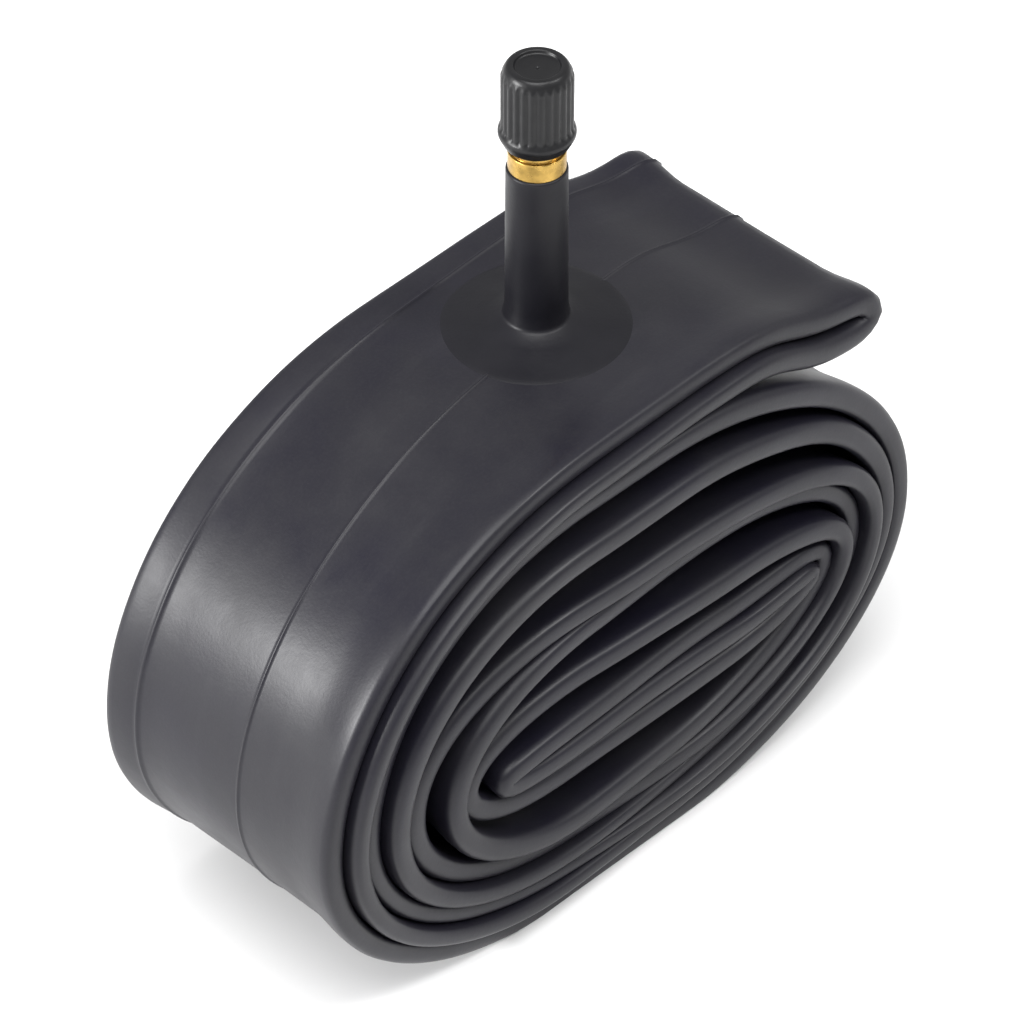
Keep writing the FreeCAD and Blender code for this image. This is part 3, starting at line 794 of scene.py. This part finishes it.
def cap_plastic():
    """Black moulded plastic with a slight gloss and handling marks."""
    paint = Paint("cap_plastic_finish")
    base = paint.ramp(paint.noise(300, 3), [(0.3, (0.0034, 0.0034, 0.0042)),
                                            (0.75, (0.0066, 0.0066, 0.0076))])
    rough = paint.ramp(paint.noise(500), [(0.3, 0.30), (0.7, 0.44)])
    skin = paint.bump(paint.noise(2500, 3), 0.015 * MM)
    return paint.finish(Base_Color=base, Roughness=rough, Specular_IOR_Level=0.36, Normal=skin)


def brass(name, colour, roughness):
    """Machined brass with turning lines, dulled in patches."""
    paint = Paint(name)
    dull = tuple(part * 0.62 for part in colour)
    base = paint.ramp(paint.noise(520), [(0.35, dull), (0.65, colour)])
    rough = paint.ramp(paint.noise(800, 3), [(0.3, roughness - 0.06), (0.7, roughness + 0.10)])
    lines = paint.bump(paint.noise(60, 2, 0.5, stretch=(1, 1, 120)), 0.012 * MM)
    return paint.finish(Base_Color=base, Metallic=1.0, Roughness=rough, Normal=lines)


def spring_steel():
    """Bright drawn wire."""
    paint = Paint("spring_steel_finish")
    base = paint.ramp(paint.noise(900, 3), [(0.3, (0.42, 0.42, 0.43)), (0.7, (0.60, 0.60, 0.60))])
    rough = paint.ramp(paint.noise(900, 3), [(0.3, 0.24), (0.7, 0.36)])
    return paint.finish(Base_Color=base, Metallic=1.0, Roughness=rough)


def seal_rubber():
    """Matte red rubber."""
    paint = Paint("seal_rubber_finish")
    base = paint.ramp(paint.noise(400, 3), [(0.3, (0.055, 0.014, 0.012)), (0.7, (0.085, 0.024, 0.020))])
    skin = paint.bump(paint.noise(2000, 3), 0.020 * MM)
    return paint.finish(Base_Color=base, Roughness=0.6, Normal=skin)


def dress_cad_nodes():
    """A finish for every CAD node that is kept as it is."""
    core = brass("core_brass_finish", (0.66, 0.46, 0.17), 0.30)
    pin = brass("pin_brass_finish", (0.62, 0.48, 0.22), 0.26)
    seal = seal_rubber()
    finishes = {"core_plug": core, "core_barrel": core, "barrel_seal": seal, "core_pin": pin, "pin_cup": pin,
                "pin_gasket": seal, "cap_seal": seal}
    for name, material in finishes.items():
        slots = nodes[name].data.materials
        slots.clear()
        slots.append(material)


# ---------------------------------------------------------------- the studio

def make_world():
    world = bpy.data.worlds.new("studio")
    world.use_nodes = True
    back = world.node_tree.nodes["Background"]
    back.inputs["Color"].default_value = (1, 1, 1, 1)
    back.inputs["Strength"].default_value = WORLD_STRENGTH
    bpy.context.scene.world = world
    bpy.context.scene.view_settings.view_transform = "Standard"


def make_floor():
    mesh = bpy.data.meshes.new("floor")
    corners = [(FLOOR_HALF * x, FLOOR_HALF * y, 0) for x, y in ((-1, -1), (1, -1), (1, 1), (-1, 1))]
    mesh.from_pydata(corners, [], [(0, 1, 2, 3)])
    floor = bpy.data.objects.new("floor", mesh)
    bpy.context.scene.collection.objects.link(floor)
    floor.location.z = -FLOOR_DROP
    paint = Paint("floor_finish")
    mesh.materials.append(paint.finish(Base_Color=(FLOOR_ALBEDO,) * 3, Roughness=0.9))


def make_lights():
    for name, place, width, height, power in LIGHTS:
        data = bpy.data.lights.new(name, "AREA")
        data.shape = "RECTANGLE"
        data.size = width
        data.size_y = height
        data.energy = power
        lamp = bpy.data.objects.new(name, data)
        lamp.location = place
        lamp.rotation_euler = (Vector(LIGHT_AIM) - Vector(place)).to_track_quat("-Z", "Y").to_euler()
        bpy.context.scene.collection.objects.link(lamp)


def make_camera():
    low, high = cad_box
    look = Vector(((low.x + high.x) / 2, (low.y + high.y) / 2, low.z)) + Vector(LOOK_FROM_FOOT) * MM
    azimuth = math.radians(CAMERA_AZIMUTH)
    elevation = math.radians(CAMERA_ELEVATION)
    back = Vector((math.sin(azimuth) * math.cos(elevation), -math.cos(azimuth) * math.cos(elevation),
                   math.sin(elevation)))
    right = Vector((math.cos(azimuth), math.sin(azimuth), 0))
    up = back.cross(right)
    look += (right * LOOK_ASIDE[0] + up * LOOK_ASIDE[1]) * MM
    data = bpy.data.cameras.new("camera")
    data.sensor_width = SENSOR
    data.lens = PIXELS_PER_METRE * CAMERA_DISTANCE / IMAGE_SIDE * SENSOR
    data.clip_start, data.clip_end = CAMERA_CLIP
    camera = bpy.data.objects.new("camera", data)
    camera.rotation_mode = "QUATERNION"
    camera.rotation_quaternion = (-back).to_track_quat("-Z", "Y")
    camera.location = look + back * CAMERA_DISTANCE
    bpy.context.scene.collection.objects.link(camera)
    bpy.context.scene.camera = camera


make_camera()
make_world()
make_floor()
make_lights()
make_tube()
make_valve_rubber()
make_brass_stem()
make_cap()
make_spring()
dress_cad_nodes()
